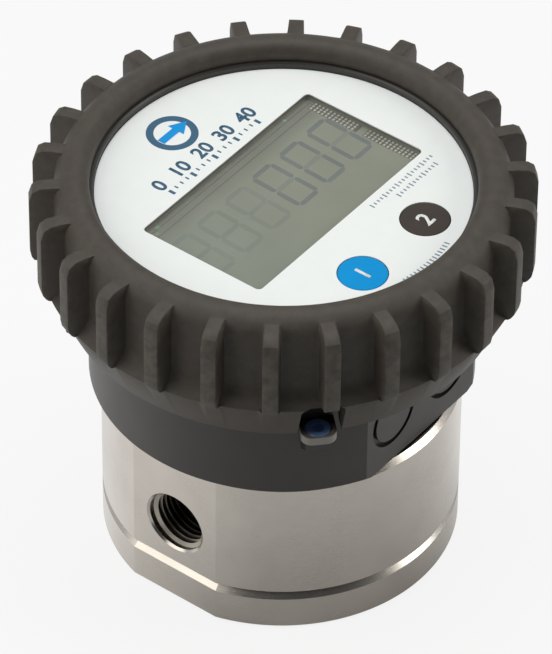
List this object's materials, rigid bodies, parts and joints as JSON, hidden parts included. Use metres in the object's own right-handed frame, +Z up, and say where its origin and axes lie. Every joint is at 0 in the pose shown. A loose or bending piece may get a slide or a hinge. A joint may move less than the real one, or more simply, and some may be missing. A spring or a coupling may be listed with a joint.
{
  "type": "turbine flow meter",
  "caption": "Small round in-line flow meter: steel body with threaded side ports, turbine wheel, ribbed rubber boot and a round dial with digital display and buttons.",
  "frame": {"origin": "centre of the underside, on the vertical axis of the round body", "axes": "+Z up; +X in the direction of flow, towards the outlet port, and the reading direction of the dial; -Y towards the reader, the side of the cable entries"},
  "size_m": [0.0986, 0.099, 0.0889],
  "materials": {
    "stainless_steel": "fine turned, satin",
    "seal_rubber": "smooth",
    "zinc_screws": "zinc plated",
    "brass": "turned",
    "bearing_bronze": "sintered",
    "hardened_steel": "ground",
    "rotor_plastic": "moulded",
    "magnet_steel": "nickel plated",
    "sensor_plastic": "moulded",
    "housing_plastic": "fine grained",
    "cell_wrap": "shrink sleeve",
    "contact_nickel": "nickel plated",
    "board_laminate": "solder resist",
    "lcd_glass": "reflective display with polariser",
    "connector_rubber": "striped",
    "window_clear": "clear",
    "dial_film": "printed film",
    "button_blue": "satin",
    "button_dark": "satin",
    "boot_rubber": "matt moulded"
  },
  "bodies": {
    "housing": {"bottom_cover": "stainless_steel", "cover_seal": "seal_rubber", "cover_screws": "zinc_screws", "meter_body": "stainless_steel", "inlet_nozzle": "brass", "lower_bearing": "bearing_bronze", "upper_bearing": "bearing_bronze", "pickup_sensor": "sensor_plastic", "base_gasket": "seal_rubber", "register_base": "housing_plastic", "register_screws": "zinc_screws", "housing_seal": "seal_rubber", "battery_holder": "sensor_plastic", "battery_cell": "cell_wrap", "battery_contacts": "contact_nickel", "circuit_board": "board_laminate", "board_pillars": "contact_nickel", "board_screws": "zinc_screws", "tactile_switches": "sensor_plastic", "processor_chip": "sensor_plastic", "lcd_frame": "sensor_plastic", "lcd_glass": "lcd_glass", "display_connector": "connector_rubber", "register_cover": "housing_plastic", "housing_screws": "zinc_screws", "display_window": "window_clear", "dial_label": "dial_film", "rubber_boot": "boot_rubber"},
    "rotor": {"turbine_rotor": "rotor_plastic", "rotor_shaft": "hardened_steel", "rotor_magnets": "magnet_steel"},
    "program_key": {"program_button": "button_blue"},
    "select_key": {"select_button": "button_dark"}
  },
  "joints": [
    {"name": "rotor_spin", "type": "hinge", "parent": "housing", "child": "rotor", "pos_m": [0, 0, 0.0203], "axis": [0, 0, 1], "continuous": true},
    {"name": "program_press", "type": "slide", "parent": "housing", "child": "program_key", "axis": [0, 0, -1], "range_m": [0, 0.00045], "stiffness_N_per_m": 4000},
    {"name": "select_press", "type": "slide", "parent": "housing", "child": "select_key", "axis": [0, 0, -1], "range_m": [0, 0.00045], "stiffness_N_per_m": 4000}
  ]
}
